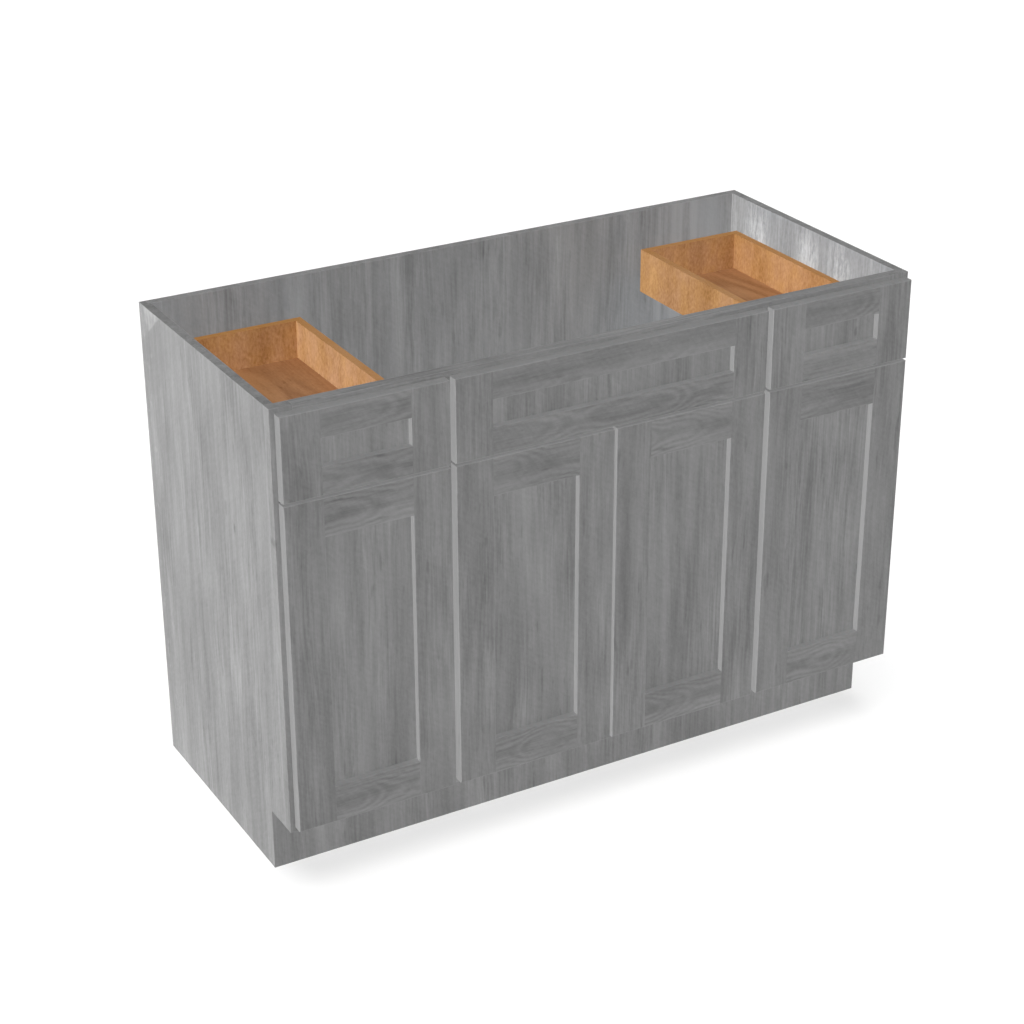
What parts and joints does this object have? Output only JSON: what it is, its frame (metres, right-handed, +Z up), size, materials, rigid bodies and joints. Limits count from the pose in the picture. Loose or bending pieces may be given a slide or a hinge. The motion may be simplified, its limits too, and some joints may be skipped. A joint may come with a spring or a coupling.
{
  "type": "vanity sink base",
  "caption": "Open-topped vanity sink base cabinet in grey stained wood, with a face frame, framed hinged doors, a fixed front over the sink and a drawer at each end.",
  "frame": {"origin": "on the floor, under the middle of the whole cabinet", "axes": "+X along the width to the right seen from the front, +Y to the wall, +Z up"},
  "size_m": [1.2192, 0.5544, 0.8763],
  "materials": {
    "grey_wood": "grey stain, satin",
    "raw_plywood": "raw",
    "drawer_wood": "clear lacquer",
    "drawer_bottom_wood": "clear lacquer",
    "hinge_nickel": "nickel plated",
    "slide_zinc": "zinc plated",
    "screw_steel": "zinc plated",
    "clip_plastic": "moulded",
    "bumper_plastic": "clear soft"
  },
  "bodies": {
    "cabinet": {"back_panel": "grey_wood", "bottom_panel": "grey_wood", "bumpers": "bumper_plastic", "false_front_cleats": "raw_plywood", "false_front_panel": "grey_wood", "false_front_rails": "grey_wood", "false_front_screws": "screw_steel", "false_front_stiles": "grey_wood", "frame_bottom_rail": "grey_wood", "frame_centre_rail": "grey_wood", "frame_drawer_rails": "grey_wood", "frame_end_stiles": "grey_wood", "frame_mullions": "grey_wood", "frame_top_rail": "grey_wood", "hinge_arms": "hinge_nickel", "hinge_pins": "hinge_nickel", "hinge_screws": "screw_steel", "left_side_panel": "grey_wood", "right_side_panel": "grey_wood", "slide_cabinet_members": "slide_zinc", "slide_rear_brackets": "clip_plastic", "toe_kick_board": "raw_plywood", "toe_kick_skin": "grey_wood"},
    "left_drawer": {"left_drawer_box_back": "drawer_wood", "left_drawer_box_bottom": "drawer_bottom_wood", "left_drawer_box_front": "drawer_wood", "left_drawer_box_sides": "drawer_wood", "left_drawer_front_panel": "grey_wood", "left_drawer_front_rails": "grey_wood", "left_drawer_front_stiles": "grey_wood", "left_drawer_locking_clips": "clip_plastic", "left_drawer_slide_members": "slide_zinc"},
    "left_carriages": {"left_drawer_carriages": "slide_zinc"},
    "right_drawer": {"right_drawer_box_back": "drawer_wood", "right_drawer_box_bottom": "drawer_bottom_wood", "right_drawer_box_front": "drawer_wood", "right_drawer_box_sides": "drawer_wood", "right_drawer_front_panel": "grey_wood", "right_drawer_front_rails": "grey_wood", "right_drawer_front_stiles": "grey_wood", "right_drawer_locking_clips": "clip_plastic", "right_drawer_slide_members": "slide_zinc"},
    "right_carriages": {"right_drawer_carriages": "slide_zinc"},
    "left_door": {"left_door_hinge_cups": "hinge_nickel", "left_door_panel": "grey_wood", "left_door_rails": "grey_wood", "left_door_stiles": "grey_wood"},
    "centre_left_door": {"centre_left_door_hinge_cups": "hinge_nickel", "centre_left_door_panel": "grey_wood", "centre_left_door_rails": "grey_wood", "centre_left_door_stiles": "grey_wood"},
    "centre_right_door": {"centre_right_door_hinge_cups": "hinge_nickel", "centre_right_door_panel": "grey_wood", "centre_right_door_rails": "grey_wood", "centre_right_door_stiles": "grey_wood"},
    "right_door": {"right_door_hinge_cups": "hinge_nickel", "right_door_panel": "grey_wood", "right_door_rails": "grey_wood", "right_door_stiles": "grey_wood"}
  },
  "joints": [
    {"name": "left_door_hinge", "type": "hinge", "parent": "cabinet", "child": "left_door", "pos_m": [-0.5956, -0.26823, 0.42165], "axis": [0, 0, -1], "range_deg": [0, 100]},
    {"name": "centre_left_door_hinge", "type": "hinge", "parent": "cabinet", "child": "centre_left_door", "pos_m": [-0.29355, -0.26823, 0.42165], "axis": [0, 0, -1], "range_deg": [0, 100]},
    {"name": "centre_right_door_hinge", "type": "hinge", "parent": "cabinet", "child": "centre_right_door", "pos_m": [0.29355, -0.26823, 0.42165], "axis": [0, 0, 1], "range_deg": [0, 100]},
    {"name": "right_door_hinge", "type": "hinge", "parent": "cabinet", "child": "right_door", "pos_m": [0.5956, -0.26823, 0.42165], "axis": [0, 0, 1], "range_deg": [0, 100]},
    {"name": "left_drawer_slide", "type": "slide", "parent": "cabinet", "child": "left_drawer", "axis": [0, -1, 0], "range_m": [0, 0.42]},
    {"name": "left_carriage_slide", "type": "slide", "parent": "cabinet", "child": "left_carriages", "axis": [0, -1, 0], "range_m": [0, 0.21]},
    {"name": "right_drawer_slide", "type": "slide", "parent": "cabinet", "child": "right_drawer", "axis": [0, -1, 0], "range_m": [0, 0.42]},
    {"name": "right_carriage_slide", "type": "slide", "parent": "cabinet", "child": "right_carriages", "axis": [0, -1, 0], "range_m": [0, 0.21]}
  ],
  "couplings": [
    {"joint": "left_carriage_slide", "follows": "left_drawer_slide", "ratio": 0.5},
    {"joint": "right_carriage_slide", "follows": "right_drawer_slide", "ratio": 0.5}
  ]
}
